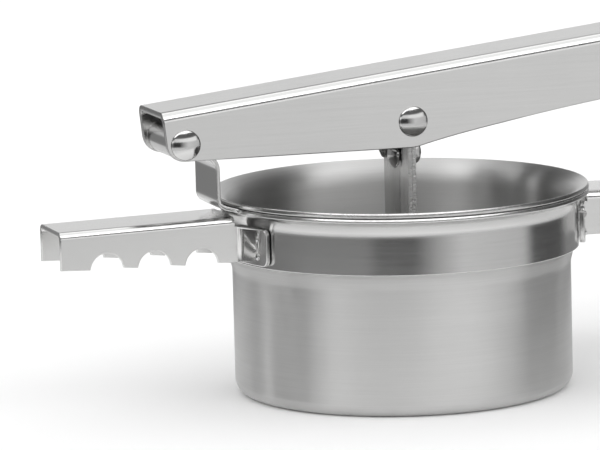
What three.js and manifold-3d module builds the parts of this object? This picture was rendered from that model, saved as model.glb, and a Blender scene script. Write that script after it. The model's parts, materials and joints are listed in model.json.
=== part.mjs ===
// Potato ricer of stainless steel sheet, in millimetres, +Z up.
// A perforated basket hangs in a holder ring. The ring carries a notched pot rest on one side and a
// long handle on the other, and a tab of the same sheet is rolled into an eye for the lever's rivet.
// The lever drives a plunger, which hangs from a second rivet, down into the basket.
// The origin is the centre of the basket's underside, +X points from the pot rest to the handles.
import * as THREE from "three";
import { mergeVertices } from "three/addons/utils/BufferGeometryUtils.js";
import Module from "manifold-3d";

// ---- Driving dimensions -------------------------------------------------------------------------

const GAP = 0.3; // between pieces that touch or run on each other
const ROUND_STEPS = 56; // facets around the ring, the basket and the press plate
const PIN_STEPS = 18; // facets around a rivet or its hole
const STEEL = { colour: 0xc4c4c6, roughness: 0.3, metalness: 1 };

// Basket
const RIM_RADIUS = 46;
const BASKET_DEPTH = 50;
const BASKET_SHEET = 1.1;
const BASKET_UPPER_RADIUS = 42.2; // outside, above the shoulder
const BASKET_LOWER_RADIUS = 41.4; // outside, below the shoulder
const SHOULDER_TOP = 16; // below the rim
const SHOULDER_BOTTOM = 19;
const BASKET_CORNER = 3.5;
const LIP_FLARE = 5.3; // radius of the flare under the lip
const HOLE_RADIUS = 1.5;
const HOLE_PITCH = 7.2;
const HOLE_RINGS = 4;
const HOLE_STEPS = 6;

// Holder ring and its pivot tab
const RING_SHEET = 1.0;
const RING_DEPTH = 15.4; // of the band's lower edge, below the rim
const RING_FLARE_RISE = 0.1; // of the centre of the ring's flare, above the basket's
const TAB_WIDTH = 16.8;
const TAB_SHEET = 1.15;
const TAB_FOOT_DEPTH = 2.08; // of the foot's middle, below the rim
const TAB_ROOT = 0.4; // how far the foot reaches into the ring's edge
const TAB_X = -49; // middle of the upright stretch
const TAB_FOOT_BEND = 2.5;
const TAB_TOP_BEND = 3.4;

// Lever: an inverted channel, drawn in its own frame with the pivot at the origin and the top level
const PIVOT = { x: -57.4, height: 14.9 }; // height above the rim
const LEVER_TILT = 6.1; // degrees, at rest
const LEVER_LENGTH = 276;
const LEVER_HEEL = 4.65; // the end behind the pivot
const LEVER_HALF_WIDTH = 10.15;
const LEVER_SHEET = 1.5;
const LEVER_BEND = 2.45;
const LEVER_TOP = 8.44; // above the pivot
const HEEL_BELOW = 3.72; // cheek below the pivot
const HEEL_ROUND = 4.3;
const CHEEK_DEEPEST = { x: 57.2, below: 10.55 };
const CHEEK_EASE = { control: 9, rise: 1.3, end: 23, below: 8.45 }; // past the deepest point
const GRIP_EASE = { control: 45, end: 75 }; // past the deepest point
const GRIP_BELOW = 6.9;
const LEVER_NOSE = 7;

// Rivets of the lever
const RIVET_RADIUS = 2.5;
const RIVET_HEAD_RADIUS = 3.7;
const RIVET_HEAD_HEIGHT = 1.35;

// Plunger
const PLUNGER_X = 0.2;
const PLUNGER_PIN_HEIGHT = 16.7; // above the rim
const POST_WIDTH = 17.2;
const POST_SHEET = 1.05;
const POST_SLIT = 0.1; // between the two layers
const POST_SPREAD_HEIGHT = 11.2; // above the rim, where the layers part towards the loop
const FOOT_LENGTH = 13;
const FOOT_BEND = 2;
const CLAMP = { height: 7.6, shank: 1.8, head: 3.4, dome: 1.7, under: 1 };
const PLATE_RADIUS = 36.9;
const PLATE_SHEET = 1.2;
const PLATE_UNDERSIDE = 47.6; // below the rim
const PLATE_WALL = 5.4;
const PLATE_CORNER = 2.2;
const PLATE_RIVET = { x: 9, shank: 2, head: 3.4, dome: 1.2, under: 0.8 };

// Pot rest
const REST_END = -88.8;
const REST_HALF_WIDTH = 8.9;
const REST_SHEET = 1.2;
const REST_BEND = 1.8;
const REST_TOP = { outer: 4.15, inner: 3.5 }; // below the rim
const REST_BOTTOM = { outer: 13.3, inner: 14.6 };
const NOTCH = { first: -77.4, pitch: 11.8, radius: 4.33, lift: -0.48, count: 3 };

// Rear handle
const HANDLE_END = 212;
const HANDLE_HALF_WIDTH = 9.5;
const HANDLE_SHEET = 1.3;
const HANDLE_BEND = 2.2;
const HANDLE_TOP = { inner: 3.6, outer: 8.5 };
const HANDLE_BOTTOM = { inner: 14.4, middle: 19.5, outer: 22 };
const GRIP_START = 95;
const HANDLE_EASE = { start: 8, first: 25, last: 20 }; // where the underside's curve begins and steers
const HANDLE_NOSE = 7;
const HANG_HOLE = { x: 202, radius: 4 };

// Tabs that wrap the ring
const WRAP_SHEET = 1.2;
const WRAP_TOP = 5.8; // below the rim
const WRAP_BOTTOM = 14.4;
const REST_WRAP_END = 25; // degrees round the ring
const HANDLE_WRAP_END = 28;
const CHANNEL_TOP_CLEARANCE = 45.2; // the channels' top sheets stop at this radius, under the flare

// ---- Worked-out values --------------------------------------------------------------------------

const RIM_Z = BASKET_DEPTH;
const RING_INNER = BASKET_UPPER_RADIUS + GAP;
const RING_OUTER = RING_INNER + RING_SHEET;
const FLARE_RADIUS = BASKET_UPPER_RADIUS + LIP_FLARE; // where both flares are centred, from the axis
const LIP_RISE = Math.sqrt((LIP_FLARE + BASKET_SHEET) ** 2 - (FLARE_RADIUS - RIM_RADIUS) ** 2);
const FLARE_Z = RIM_Z - LIP_RISE;
const EYE_INNER = RIVET_RADIUS + GAP;
const WRAP_INNER = RING_OUTER + GAP;
const TILT = THREE.MathUtils.degToRad(LEVER_TILT);
const PIVOT_Z = RIM_Z + PIVOT.height;
const LAYER_OFFSET = (POST_SHEET + POST_SLIT) / 2;
const POST_FOOT_Z = RIM_Z - PLATE_UNDERSIDE + PLATE_SHEET + GAP + POST_SHEET / 2;

// ---- Solids -------------------------------------------------------------------------------------

const wasm = await Module();
wasm.setup();

// A closed geometry as a solid that can be joined and cut.
function solid(geometry) {
  const bare = new THREE.BufferGeometry();
  bare.setAttribute("position", geometry.getAttribute("position").clone());
  if (geometry.index) bare.setIndex(geometry.index.clone());
  const merged = mergeVertices(bare, 1e-4);
  return new wasm.Manifold(
    new wasm.Mesh({
      numProp: 3,
      vertProperties: merged.attributes.position.array,
      triVerts: new Uint32Array(merged.index.array),
    }),
  );
}

function geometryOf(body) {
  const mesh = body.getMesh();
  const geometry = new THREE.BufferGeometry();
  geometry.setAttribute("position", new THREE.BufferAttribute(mesh.vertProperties, 3));
  geometry.setIndex(new THREE.BufferAttribute(mesh.triVerts, 1));
  return geometry;
}

function extrude(shape, depth) {
  return new THREE.ExtrudeGeometry(shape, { depth, bevelEnabled: false, curveSegments: 8 });
}

// A side view, drawn in x and z, made a slab of this width across Y.
function slabAcrossY(shape, width, middle = 0) {
  return solid(extrude(shape, width).rotateX(Math.PI / 2).translate(0, middle + width / 2, 0));
}

// A cross-section, drawn in y and z, run along X.
function barAlongX(shape, from, to) {
  const turn = new THREE.Matrix4().makeBasis(
    new THREE.Vector3(0, 1, 0),
    new THREE.Vector3(0, 0, 1),
    new THREE.Vector3(1, 0, 0),
  );
  return solid(extrude(shape, to - from).applyMatrix4(turn).translate(from, 0, 0));
}

// A closed profile of [radius, z] points turned about the Z axis.
function turned(profile, steps = ROUND_STEPS) {
  const points = profile.map(([r, z]) => new THREE.Vector2(r, z));
  return solid(new THREE.LatheGeometry(points, steps).rotateX(Math.PI / 2));
}

// A round bar across Y, centred at x and z.
function pinAcrossY(x, z, radius, width, steps = PIN_STEPS) {
  return solid(new THREE.CylinderGeometry(radius, radius, width, steps).translate(x, 0, z));
}

// A round bar along Z.
function pinAlongZ(x, y, low, high, radius, steps = PIN_STEPS) {
  const bar = new THREE.CylinderGeometry(radius, radius, high - low, steps);
  return solid(bar.rotateX(Math.PI / 2).translate(x, y, (low + high) / 2));
}

// Points of an arc, its angles in degrees.
function arc(cx, cz, radius, from, to, steps = 6) {
  return Array.from({ length: steps + 1 }, (_, i) => {
    const angle = THREE.MathUtils.degToRad(from + ((to - from) * i) / steps);
    return [cx + radius * Math.cos(angle), cz + radius * Math.sin(angle)];
  });
}

function shapeOf(points) {
  return new THREE.Shape(points.map(([x, z]) => new THREE.Vector2(x, z)));
}

// The outline of a sheet of this thickness whose middle runs through the points.
function sheetOutline(points, thickness) {
  const sides = [[], []];
  points.forEach(([x, z], i) => {
    const [ax, az] = points[Math.max(i - 1, 0)];
    const [bx, bz] = points[Math.min(i + 1, points.length - 1)];
    const length = Math.hypot(bx - ax, bz - az);
    const nx = (-(bz - az) / length) * (thickness / 2);
    const nz = ((bx - ax) / length) * (thickness / 2);
    sides[0].push([x + nx, z + nz]);
    sides[1].push([x - nx, z - nz]);
  });
  return shapeOf([...sides[0], ...sides[1].reverse()]);
}

// ---- Repeated shapes ----------------------------------------------------------------------------

// The cross-section of an inverted channel, in y and z, its top sheet's outside at z = 0.
function channelSection(halfWidth, sheet, bend, depth) {
  const inner = halfWidth - sheet;
  const innerBend = bend - sheet;
  return shapeOf([
    [halfWidth, -depth],
    ...arc(halfWidth - bend, -bend, bend, 0, 90, 5),
    ...arc(bend - halfWidth, -bend, bend, 90, 180, 5),
    [-halfWidth, -depth],
    [-inner, -depth],
    ...arc(innerBend - inner, -bend, innerBend, 180, 90, 3),
    ...arc(inner - innerBend, -bend, innerBend, 90, 0, 3),
    [inner, -depth],
  ]);
}

// A channel whose top sheet falls or rises in a straight line from x0, z0 to x1, z1.
function slopingChannel(section, [x0, z0], [x1, z1]) {
  const run = Math.hypot(x1 - x0, z1 - z0);
  const bar = barAlongX(section, 0, run);
  const slope = (Math.atan2(z1 - z0, x1 - x0) * 180) / Math.PI;
  return bar.rotate([0, -slope, 0]).translate([x0, 0, z0]);
}

// The two tabs of a channel that wrap the ring, on the side where facing is +1 or -1 along X.
function wrapTabs(facing, halfWidth, endAngle) {
  const startAngle = (Math.asin((halfWidth - WRAP_SHEET) / (WRAP_INNER + WRAP_SHEET)) * 180) / Math.PI;
  const middle = facing > 0 ? 0 : 180;
  const tabs = [1, -1].map((side) => {
    const from = middle + side * startAngle;
    const to = middle + side * endAngle;
    const outline = shapeOf([
      ...arc(0, 0, WRAP_INNER + WRAP_SHEET, from, to, 5),
      ...arc(0, 0, WRAP_INNER, to, from, 5),
    ]);
    return solid(extrude(outline, WRAP_BOTTOM - WRAP_TOP).translate(0, 0, RIM_Z - WRAP_BOTTOM));
  });
  return tabs[0].add(tabs[1]);
}

// Leaves room for the ring: its band all the way down, and its flare above the tabs.
function clearOfRing(body) {
  const band = pinAlongZ(0, 0, 0, RIM_Z + PIVOT.height, WRAP_INNER, ROUND_STEPS);
  const flare = pinAlongZ(0, 0, RIM_Z - WRAP_TOP, RIM_Z + PIVOT.height, CHANNEL_TOP_CLEARANCE, ROUND_STEPS);
  return body.subtract(band).subtract(flare);
}

// Profile of a rivet across the channel: a shank with a domed head against each cheek.
function rivetProfile(headFace) {
  const sphere = (RIVET_HEAD_RADIUS ** 2 + RIVET_HEAD_HEIGHT ** 2) / (2 * RIVET_HEAD_HEIGHT);
  const spread = (Math.asin(RIVET_HEAD_RADIUS / sphere) * 180) / Math.PI;
  const dome = arc(0, headFace + RIVET_HEAD_HEIGHT - sphere, sphere, 90 - spread, 90, 5);
  dome[dome.length - 1] = [0, headFace + RIVET_HEAD_HEIGHT];
  const upper = [[RIVET_RADIUS, headFace], ...dome];
  const lower = upper.map(([r, y]) => [r, -y]).reverse();
  return [...lower, ...upper];
}

function crossRivet() {
  const profile = rivetProfile(LEVER_HALF_WIDTH + GAP / 2).map(([r, y]) => new THREE.Vector2(r, y));
  return new THREE.LatheGeometry(profile, PIN_STEPS);
}

// A short domed rivet along Z: the head's dome above z = 0, a shank and a flat closing head below.
function shortRivet({ shank, head, dome, under }, grip) {
  const sphere = (head ** 2 + dome ** 2) / (2 * dome);
  const spread = (Math.asin(head / sphere) * 180) / Math.PI;
  const cap = arc(0, dome - sphere, sphere, 90 - spread, 90, 5);
  cap[cap.length - 1] = [0, dome];
  return turned(
    [[0, -grip - under], [head, -grip - under], [head, -grip], [shank, -grip], [shank, 0], ...cap],
    PIN_STEPS,
  );
}

// ---- Holder ring, basket ------------------------------------------------------------------------

function flareArc(radius, rise, steps) {
  const end = (Math.acos((RIM_RADIUS - FLARE_RADIUS) / radius) * 180) / Math.PI;
  return arc(FLARE_RADIUS, FLARE_Z + rise, radius, 180, end, steps);
}

// The tab rises from the ring's flare, bends back under the pivot and rolls into the rivet's eye.
function pivotTab() {
  const footZ = RIM_Z - TAB_FOOT_DEPTH;
  const eyeRadius = EYE_INNER + TAB_SHEET / 2;
  const topZ = PIVOT_Z - eyeRadius;
  const path = [
    [TAB_ROOT - RIM_RADIUS, footZ],
    ...arc(TAB_X + TAB_FOOT_BEND, footZ + TAB_FOOT_BEND, TAB_FOOT_BEND, 270, 180),
    ...arc(TAB_X - TAB_TOP_BEND, topZ - TAB_TOP_BEND, TAB_TOP_BEND, 0, 90),
    ...arc(PIVOT.x, PIVOT_Z, eyeRadius, -90, -375, 20),
  ];
  return slabAcrossY(sheetOutline(path, TAB_SHEET), TAB_WIDTH);
}

function holderRing() {
  const outer = flareArc(LIP_FLARE - GAP - RING_SHEET, RING_FLARE_RISE, 6);
  const inner = flareArc(LIP_FLARE - GAP, RING_FLARE_RISE, 6);
  const ring = turned([
    [RING_OUTER, RIM_Z - RING_DEPTH],
    ...outer,
    ...inner.reverse(),
    [RING_INNER, RIM_Z - RING_DEPTH],
    [RING_OUTER, RIM_Z - RING_DEPTH],
  ]);
  return geometryOf(ring.add(pivotTab()));
}

// Holes on a hexagonal grid, with the middle of the floor left whole.
function floorHoles() {
  const places = [];
  for (let row = -HOLE_RINGS; row <= HOLE_RINGS; row += 1) {
    const count = 2 * HOLE_RINGS + 1 - Math.abs(row);
    for (let i = 0; i < count; i += 1) {
      const x = (i - (count - 1) / 2) * HOLE_PITCH;
      const y = row * HOLE_PITCH * Math.sin(Math.PI / 3);
      if (Math.hypot(x, y) > HOLE_PITCH / 2) places.push([x, y]);
    }
  }
  return places.map(([x, y]) => pinAlongZ(x, y, -1, BASKET_SHEET + 1, HOLE_RADIUS, HOLE_STEPS));
}

function basket() {
  const innerUpper = BASKET_UPPER_RADIUS - BASKET_SHEET;
  const innerLower = BASKET_LOWER_RADIUS - BASKET_SHEET;
  const innerCorner = BASKET_CORNER - BASKET_SHEET;
  const cornerRadius = BASKET_LOWER_RADIUS - BASKET_CORNER;
  const wall = turned([
    [0, 0],
    ...arc(cornerRadius, BASKET_CORNER, BASKET_CORNER, -90, 0, 5),
    [BASKET_LOWER_RADIUS, RIM_Z - SHOULDER_BOTTOM],
    [BASKET_UPPER_RADIUS, RIM_Z - SHOULDER_TOP],
    ...flareArc(LIP_FLARE, 0, 6),
    ...flareArc(LIP_FLARE + BASKET_SHEET, 0, 6).reverse(),
    [innerUpper, RIM_Z - SHOULDER_TOP],
    [innerLower, RIM_Z - SHOULDER_BOTTOM],
    ...arc(cornerRadius, BASKET_CORNER, innerCorner, 0, -90, 5),
    [0, BASKET_SHEET],
  ]);
  return geometryOf(floorHoles().reduce((body, hole) => body.subtract(hole), wall));
}

// ---- Pot rest and rear handle -------------------------------------------------------------------

function potRest() {
  const section = channelSection(REST_HALF_WIDTH, REST_SHEET, REST_BEND, 2 * REST_BOTTOM.inner);
  const channel = slopingChannel(
    section,
    [REST_END, RIM_Z - REST_TOP.outer],
    [-RING_INNER, RIM_Z - REST_TOP.inner],
  );
  const below = shapeOf([
    [REST_END - 5, RIM_Z - REST_BOTTOM.outer],
    [REST_END, RIM_Z - REST_BOTTOM.outer],
    [-RING_INNER, RIM_Z - REST_BOTTOM.inner],
    [-RING_INNER + 5, RIM_Z - REST_BOTTOM.inner],
    [-RING_INNER + 5, RIM_Z - 4 * REST_BOTTOM.inner],
    [REST_END - 5, RIM_Z - 4 * REST_BOTTOM.inner],
  ]);
  const width = 4 * REST_HALF_WIDTH;
  const fall = (REST_BOTTOM.inner - REST_BOTTOM.outer) / (-RING_INNER - REST_END);
  let rest = channel.subtract(slabAcrossY(below, width));
  for (let i = 0; i < NOTCH.count; i += 1) {
    const x = NOTCH.first + i * NOTCH.pitch;
    const edge = RIM_Z - REST_BOTTOM.outer - fall * (x - REST_END);
    rest = rest.subtract(pinAcrossY(x, edge + NOTCH.lift, NOTCH.radius, width));
  }
  return geometryOf(clearOfRing(rest.add(wrapTabs(-1, REST_HALF_WIDTH, REST_WRAP_END))));
}

// Side view of the handle: the cheeks deepen from the ring to the grip, then run to a round nose.
function handleSide() {
  const top = RIM_Z - HANDLE_TOP.outer;
  const low = RIM_Z - HANDLE_BOTTOM.outer;
  const side = new THREE.Shape();
  side.moveTo(RING_INNER - 5, RIM_Z);
  side.lineTo(RING_INNER - 5, RIM_Z - HANDLE_BOTTOM.inner);
  side.lineTo(RING_OUTER + HANDLE_EASE.start, RIM_Z - HANDLE_BOTTOM.inner);
  side.bezierCurveTo(
    RING_OUTER + HANDLE_EASE.first, RIM_Z - HANDLE_BOTTOM.inner,
    GRIP_START - HANDLE_EASE.last, RIM_Z - HANDLE_BOTTOM.middle,
    GRIP_START, RIM_Z - HANDLE_BOTTOM.middle,
  );
  side.lineTo(HANDLE_END - HANDLE_NOSE, low);
  side.absarc(HANDLE_END - HANDLE_NOSE, low + HANDLE_NOSE, HANDLE_NOSE, -Math.PI / 2, 0, false);
  side.lineTo(HANDLE_END, top);
  side.lineTo(HANDLE_END, RIM_Z);
  return side;
}

function rearHandle() {
  const section = channelSection(HANDLE_HALF_WIDTH, HANDLE_SHEET, HANDLE_BEND, 2 * HANDLE_BOTTOM.outer);
  const channel = slopingChannel(
    section,
    [RING_INNER, RIM_Z - HANDLE_TOP.inner],
    [HANDLE_END + HANDLE_NOSE, RIM_Z - HANDLE_TOP.outer],
  );
  const cheeks = channel.intersect(slabAcrossY(handleSide(), 4 * HANDLE_HALF_WIDTH));
  const hole = pinAlongZ(HANG_HOLE.x, 0, RIM_Z - HANDLE_BOTTOM.outer, RIM_Z, HANG_HOLE.radius);
  const tabs = wrapTabs(1, HANDLE_HALF_WIDTH, HANDLE_WRAP_END);
  return geometryOf(clearOfRing(cheeks.add(tabs)).subtract(hole));
}

// ---- Lever --------------------------------------------------------------------------------------

// Side view in the lever's own frame: deepest under the plunger's rivet, then easing to the grip.
function leverSide() {
  const end = LEVER_LENGTH;
  const side = new THREE.Shape();
  side.moveTo(-LEVER_HEEL, LEVER_TOP);
  side.lineTo(-LEVER_HEEL, HEEL_ROUND - HEEL_BELOW);
  side.absarc(HEEL_ROUND - LEVER_HEEL, HEEL_ROUND - HEEL_BELOW, HEEL_ROUND, Math.PI, 1.5 * Math.PI, false);
  side.lineTo(CHEEK_DEEPEST.x, -CHEEK_DEEPEST.below);
  side.quadraticCurveTo(
    CHEEK_DEEPEST.x + CHEEK_EASE.control, CHEEK_EASE.rise - CHEEK_DEEPEST.below,
    CHEEK_DEEPEST.x + CHEEK_EASE.end, -CHEEK_EASE.below,
  );
  side.quadraticCurveTo(
    CHEEK_DEEPEST.x + GRIP_EASE.control, -GRIP_BELOW,
    CHEEK_DEEPEST.x + GRIP_EASE.end, -GRIP_BELOW,
  );
  side.lineTo(end - LEVER_NOSE, -GRIP_BELOW);
  side.absarc(end - LEVER_NOSE, LEVER_NOSE - GRIP_BELOW, LEVER_NOSE, -Math.PI / 2, 0, false);
  side.lineTo(end, LEVER_TOP);
  return side;
}

// The plunger rivet's place in the lever's frame.
function plungerPinInLever() {
  const dx = PLUNGER_X - PIVOT.x;
  const dz = PLUNGER_PIN_HEIGHT - PIVOT.height;
  return [dx * Math.cos(TILT) + dz * Math.sin(TILT), dz * Math.cos(TILT) - dx * Math.sin(TILT)];
}

function lever() {
  const depth = LEVER_TOP + CHEEK_DEEPEST.below + 1;
  const section = channelSection(LEVER_HALF_WIDTH, LEVER_SHEET, LEVER_BEND, depth);
  const channel = barAlongX(section, -LEVER_HEEL, LEVER_LENGTH).translate([0, 0, LEVER_TOP]);
  const cheeks = channel.intersect(slabAcrossY(leverSide(), 4 * LEVER_HALF_WIDTH));
  const [x, z] = plungerPinInLever();
  return geometryOf(
    cheeks
      .subtract(pinAcrossY(0, 0, RIVET_RADIUS + GAP / 2, 4 * LEVER_HALF_WIDTH))
      .subtract(pinAcrossY(x, z, RIVET_RADIUS + GAP / 2, 4 * LEVER_HALF_WIDTH)),
  );
}

// ---- Plunger ------------------------------------------------------------------------------------

// Half of the hairpin, from the foot up to the top of the loop, on the side given by +1 or -1.
function postHalf(side) {
  const loopRadius = EYE_INNER + POST_SHEET / 2;
  const rise = PLUNGER_PIN_HEIGHT - POST_SPREAD_HEIGHT;
  const lean = Math.asin(loopRadius / Math.hypot(rise, LAYER_OFFSET)) - Math.atan2(LAYER_OFFSET, rise);
  const tangent = -THREE.MathUtils.radToDeg(lean);
  const bendX = LAYER_OFFSET + FOOT_BEND;
  const half = [
    [LAYER_OFFSET + FOOT_LENGTH, POST_FOOT_Z],
    ...arc(bendX, POST_FOOT_Z + FOOT_BEND, FOOT_BEND, 270, 180, 5),
    [LAYER_OFFSET, RIM_Z + POST_SPREAD_HEIGHT],
    ...arc(0, RIM_Z + PLUNGER_PIN_HEIGHT, loopRadius, tangent, 90, 8),
  ];
  return half.map(([x, z]) => [PLUNGER_X + side * x, z]);
}

// One strip doubled round the plunger's rivet: two layers down to the plate, where they turn out.
function plungerPost() {
  const right = postHalf(1);
  const left = postHalf(-1).reverse().slice(1);
  const strip = slabAcrossY(sheetOutline([...right, ...left], POST_SHEET), POST_WIDTH);
  const clampHole = solid(
    new THREE.CylinderGeometry(CLAMP.shank + GAP / 2, CLAMP.shank + GAP / 2, 6 * POST_SHEET, PIN_STEPS)
      .rotateZ(Math.PI / 2)
      .translate(PLUNGER_X, 0, RIM_Z + CLAMP.height),
  );
  const plateHoles = [1, -1].map((side) =>
    pinAlongZ(
      PLUNGER_X + side * PLATE_RIVET.x, 0, 0, POST_FOOT_Z + FOOT_BEND, PLATE_RIVET.shank + GAP / 2,
    ),
  );
  return geometryOf(strip.subtract(clampHole).subtract(plateHoles[0]).subtract(plateHoles[1]));
}

// The press plate is a shallow pan: a flat bottom with a wall that guides it in the basket.
function pressPlate() {
  const low = RIM_Z - PLATE_UNDERSIDE;
  const cornerR = PLATE_RADIUS - PLATE_CORNER;
  const inner = PLATE_CORNER - PLATE_SHEET;
  let plate = turned([
    [0, low],
    ...arc(cornerR, low + PLATE_CORNER, PLATE_CORNER, -90, 0, 4),
    [PLATE_RADIUS, low + PLATE_WALL],
    [PLATE_RADIUS - PLATE_SHEET, low + PLATE_WALL],
    ...arc(cornerR, low + PLATE_CORNER, inner, 0, -90, 4),
    [0, low + PLATE_SHEET],
  ]);
  for (const side of [1, -1])
    plate = plate.subtract(pinAlongZ(side * PLATE_RIVET.x, 0, 0, RIM_Z, PLATE_RIVET.shank + GAP / 2));
  return geometryOf(plate.translate([PLUNGER_X, 0, 0]));
}

function clampRivet() {
  const reach = POST_SHEET + POST_SLIT / 2 + GAP / 2;
  const rivet = shortRivet(CLAMP, 2 * reach);
  return geometryOf(rivet.rotate([0, -90, 0]).translate([-reach, 0, 0]));
}

function plateRivet() {
  const grip = PLATE_SHEET + GAP + POST_SHEET + GAP;
  return geometryOf(shortRivet(PLATE_RIVET, grip));
}

// ---- Assembly -----------------------------------------------------------------------------------

function piece(name, geometry, tint = 1) {
  const material = new THREE.MeshStandardMaterial({
    color: new THREE.Color(STEEL.colour).multiplyScalar(tint),
    roughness: STEEL.roughness,
    metalness: STEEL.metalness,
  });
  const mesh = new THREE.Mesh(geometry, material);
  mesh.name = name;
  return mesh;
}

function holderGroup() {
  const group = new THREE.Group();
  group.add(piece("holder_ring", holderRing()));
  group.add(piece("basket", basket(), 0.95));
  group.add(piece("pot_rest", potRest()));
  group.add(piece("rear_handle", rearHandle()));
  return group;
}

function leverGroup() {
  const group = new THREE.Group();
  group.position.set(PIVOT.x, 0, PIVOT_Z);
  group.rotation.y = -TILT;
  group.add(piece("lever", lever()));
  group.add(piece("lever_rivet", crossRivet(), 0.9));
  const plungerRivet = piece("plunger_rivet", crossRivet(), 0.9);
  const [x, z] = plungerPinInLever();
  plungerRivet.position.set(x, 0, z);
  group.add(plungerRivet);
  return group;
}

function plungerGroup() {
  const group = new THREE.Group();
  group.add(piece("plunger_post", plungerPost()));
  group.add(piece("press_plate", pressPlate(), 0.95));
  const clamp = piece("post_rivet", clampRivet(), 0.85);
  clamp.position.set(PLUNGER_X, 0, RIM_Z + CLAMP.height);
  group.add(clamp);
  for (const [name, side] of [["plate_rivet_left", -1], ["plate_rivet_right", 1]]) {
    const rivet = piece(name, plateRivet(), 0.9);
    rivet.position.set(PLUNGER_X + side * PLATE_RIVET.x, 0, POST_FOOT_Z + POST_SHEET / 2 + GAP / 2);
    group.add(rivet);
  }
  return group;
}

const potatoRicer = new THREE.Group();
potatoRicer.add(holderGroup(), leverGroup(), plungerGroup());

export default potatoRicer;
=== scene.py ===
"""The finished look of the potato ricer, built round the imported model. Lengths are in millimetres
until a mesh is made, unless a comment says otherwise, and the frame's own origin and axes are used
throughout."""

import json
import math

import bmesh
import bpy
import numpy as np
from mathutils import Matrix, Vector, noise
from mathutils.geometry import delaunay_2d_cdt


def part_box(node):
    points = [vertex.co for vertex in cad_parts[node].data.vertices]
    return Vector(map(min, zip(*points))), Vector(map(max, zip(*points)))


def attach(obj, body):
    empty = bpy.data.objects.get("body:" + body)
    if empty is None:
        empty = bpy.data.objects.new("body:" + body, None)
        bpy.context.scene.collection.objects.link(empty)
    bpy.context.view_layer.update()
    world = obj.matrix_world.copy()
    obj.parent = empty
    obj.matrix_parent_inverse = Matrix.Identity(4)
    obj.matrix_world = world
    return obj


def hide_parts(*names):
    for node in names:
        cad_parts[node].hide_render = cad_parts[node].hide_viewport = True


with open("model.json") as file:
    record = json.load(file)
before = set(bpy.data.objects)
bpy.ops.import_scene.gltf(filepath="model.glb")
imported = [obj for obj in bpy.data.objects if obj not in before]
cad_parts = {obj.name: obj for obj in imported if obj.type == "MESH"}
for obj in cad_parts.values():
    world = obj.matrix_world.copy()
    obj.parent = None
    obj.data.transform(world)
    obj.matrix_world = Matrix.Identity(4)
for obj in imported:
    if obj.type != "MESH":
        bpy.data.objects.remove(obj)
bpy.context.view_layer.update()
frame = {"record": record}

# ---- Driving dimensions, in millimetres and degrees -----------------------------------------------

MM = 0.001
EDGE = 0.22  # radius of a deburred sheet edge
EDGE_STEPS = 3
TURN_STEPS = 144  # round the ring and the basket
FOLD_INSET = 0.25  # from a fold to the extra row that keeps the flat beside it flat

LEVER_TILT = 6.1
LEVER_LENGTH = 276
LEVER_SHEET = 1.5
LEVER_BEND = 2.45
LEVER_TOP = 8.44
LEVER_HEEL = 4.65
HEEL_BELOW = 3.72
HEEL_ROUND = 4.3
CHEEK_DEEPEST = (57.2, 10.55)
KNEE = (1.5, 0.2)  # half length and rise of the round at the cheek's deepest point
SWEEP_PULL = (9, 1.3)  # the edge's next control point: beyond the deepest point, and above it
SWEEP_END = (23, 8.45)  # beyond the deepest point, and below the pivot
GRIP_BELOW = 6.9
GRIP_REACH = (45, 75)  # beyond the deepest point: the last control point, and the straight edge
NOSE = 7

REST_HALF = 8.9
REST_SHEET = 1.2
REST_BEND = 1.8
REST_TOP = (4.15, 3.5)
REST_BOTTOM = (13.3, 14.6)
NOTCHES = (-77.4, -65.6, -53.8)
NOTCH_RADIUS = 4.33
NOTCH_LIFT = -0.48
REST_EDGE_START = 46.5  # where the wrap tab's lower edge meets the cheek's

HANDLE_HALF = 9.5
HANDLE_SHEET = 1.3
HANDLE_BEND = 2.2
HANDLE_TOP = (3.6, 8.5)
HANDLE_BOTTOM = (14.4, 19.5, 22)
HANDLE_EDGE_START = 51.5
GRIP_START = 95
HANDLE_PULLS = (17, 20)  # from the sweep's two ends to its control points
HANG_HOLE = (202, 4)

WRAP_TOP = 5.8
WRAP_BOTTOM = 14.4
WRAP_BEND = 1.5
WRAP_SHEET = 1.2
WRAP_CORNER = 1.3
WRAP_START = 0.5  # from the end of the channel's fold down to where the tab begins
TAB_RELIEF = 0.4  # width of the cut between the tab's bend and the channel's top
TOP_GAP = 1.9  # between the ring and a channel's top
BEND_LINE_DEPTH = 22  # under the rim, past the lower edge of either channel's tab
BEND_LINES = 22  # across a tab, from its bend to its end
LINE_GAP = 0.3  # from a tab's bend or end to the nearest line beside it
REST_WRAP_END = 24.5
HANDLE_WRAP_END = 27.5

RING_SHEET = 1.0
BASKET_SHEET = 1.1
BASKET_UPPER = 42.2
BASKET_LOWER = 41.4
BASKET_CORNER = 3.5
SHOULDER = (16, 19)
SHOULDER_ROUND = (0.2, 0.7)  # from a shoulder's corner to where the slope is straight
SHOULDER_LEAD = 0.8  # from the upper corner to where the wall is straight
WALL_START = 12  # the lowest extra row of the wall, above its rounded corner
FLARE_LEAD = 0.8  # from the last row of the wall up to where the flare starts
RING_DEPTH = 15.4
LIP_FLARE = 5.3
RING_FLARE_RISE = 0.1
FIT_GAP = 0.3
TAB_HALF = 8.4
TAB_ROOT_COLUMNS = 6  # each side of the middle, at the ring's edge
TAB_X = -49
TAB_FOOT_BEND = 2.5
TAB_TOP_BEND = 3.4
EYE_MIDDLE = 3.35  # radius of the rolled eye's middle surface

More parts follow.
